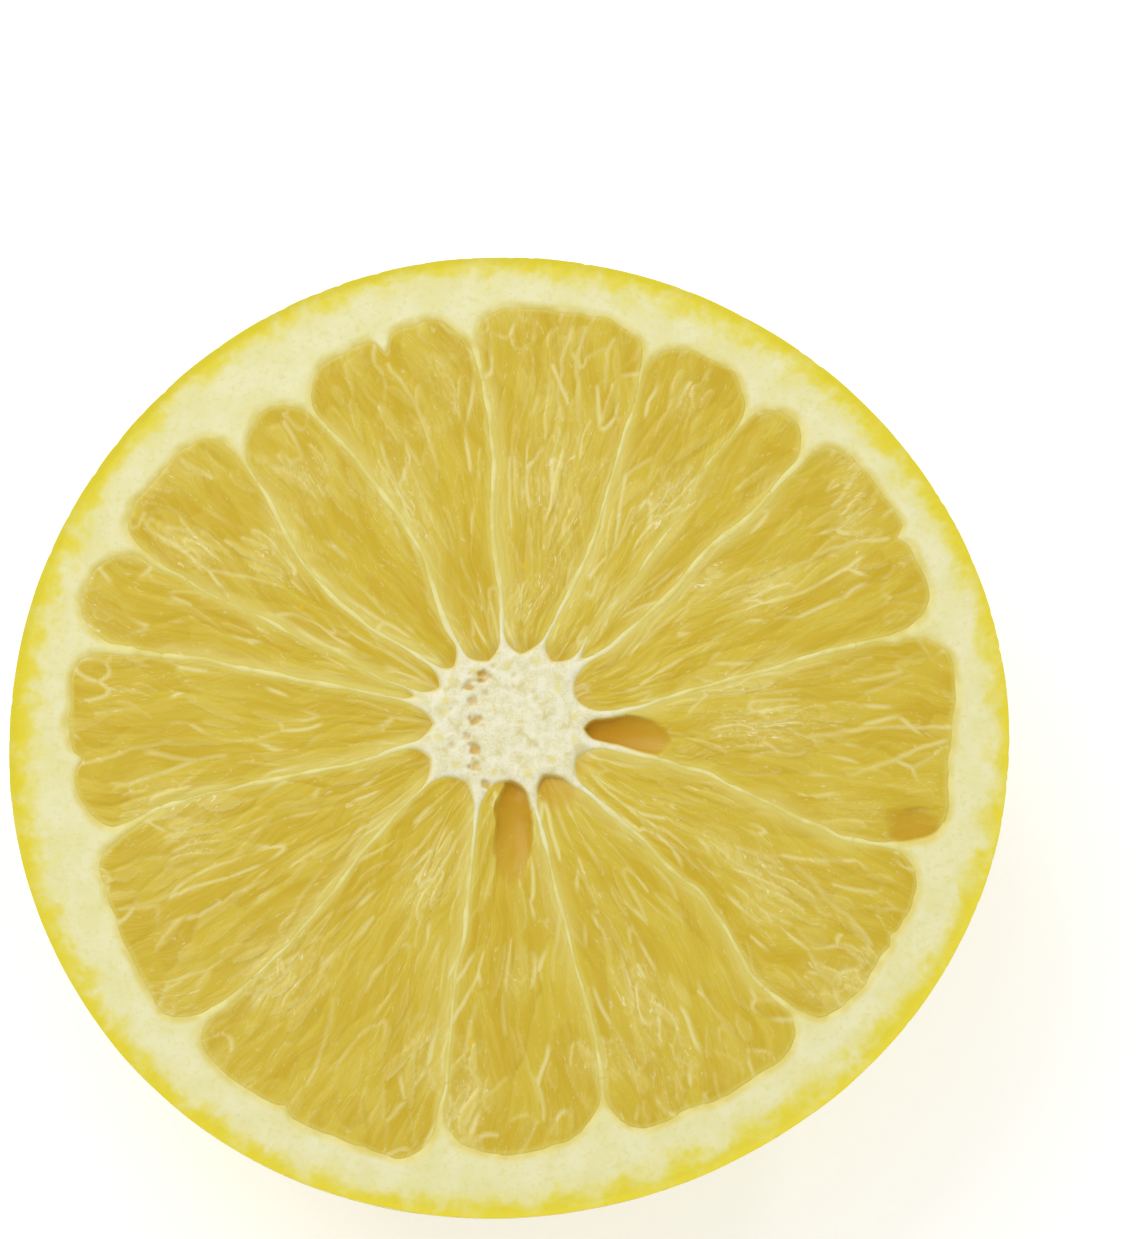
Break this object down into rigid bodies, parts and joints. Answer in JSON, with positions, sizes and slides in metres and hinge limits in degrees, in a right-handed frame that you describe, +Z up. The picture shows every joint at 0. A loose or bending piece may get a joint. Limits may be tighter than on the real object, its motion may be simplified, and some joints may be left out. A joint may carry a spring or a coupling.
{
  "type": "half grapefruit",
  "caption": "Half of a grapefruit, cut across its middle and lying on its skin with the pale yellow cut face up.",
  "frame": {"origin": "middle of the underside, on the small flat spot that the half rests on", "axes": "+Z up, out of the cut face and along the fruit's core; +X along the longer width of the cut"},
  "size_m": [0.1068, 0.1032, 0.047],
  "materials": {
    "peel": null,
    "pith": null,
    "pulp": null
  },
  "bodies": {
    "root": {"half_grapefruit": "peel"}
  },
  "joints": []
}
